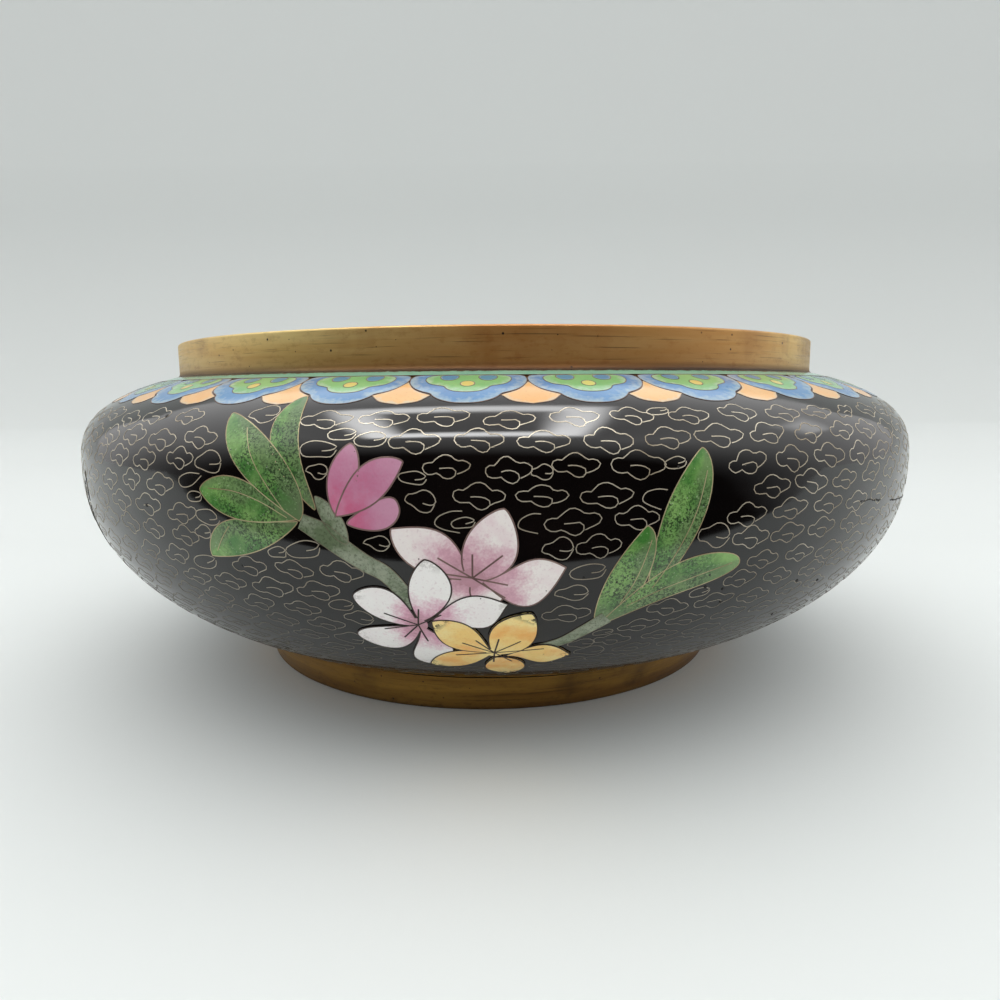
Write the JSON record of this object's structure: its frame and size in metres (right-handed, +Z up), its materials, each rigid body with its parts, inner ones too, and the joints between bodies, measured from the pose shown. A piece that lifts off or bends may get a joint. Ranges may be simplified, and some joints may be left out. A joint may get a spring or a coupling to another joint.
{
  "type": "cloisonne bowl",
  "caption": "Squat round cloisonne enamel bowl with an open mouth in a brass collar, standing on a brass foot ring.",
  "frame": {"origin": "middle of the foot ring's underside, on the surface that the bowl stands on", "axes": "+Z up, along the bowl's axis; the flower spray faces -Y"},
  "size_m": [0.2, 0.2, 0.0768],
  "materials": {
    "black_enamel": "gloss",
    "turquoise_enamel": "gloss",
    "coloured_enamel": "gloss",
    "gilt_wire": "satin",
    "collar_brass": "satin",
    "foot_brass": "satin"
  },
  "bodies": {
    "root": {"enamelled_bowl": "black_enamel", "rim_collar": "collar_brass", "foot_ring": "foot_brass"}
  },
  "joints": []
}
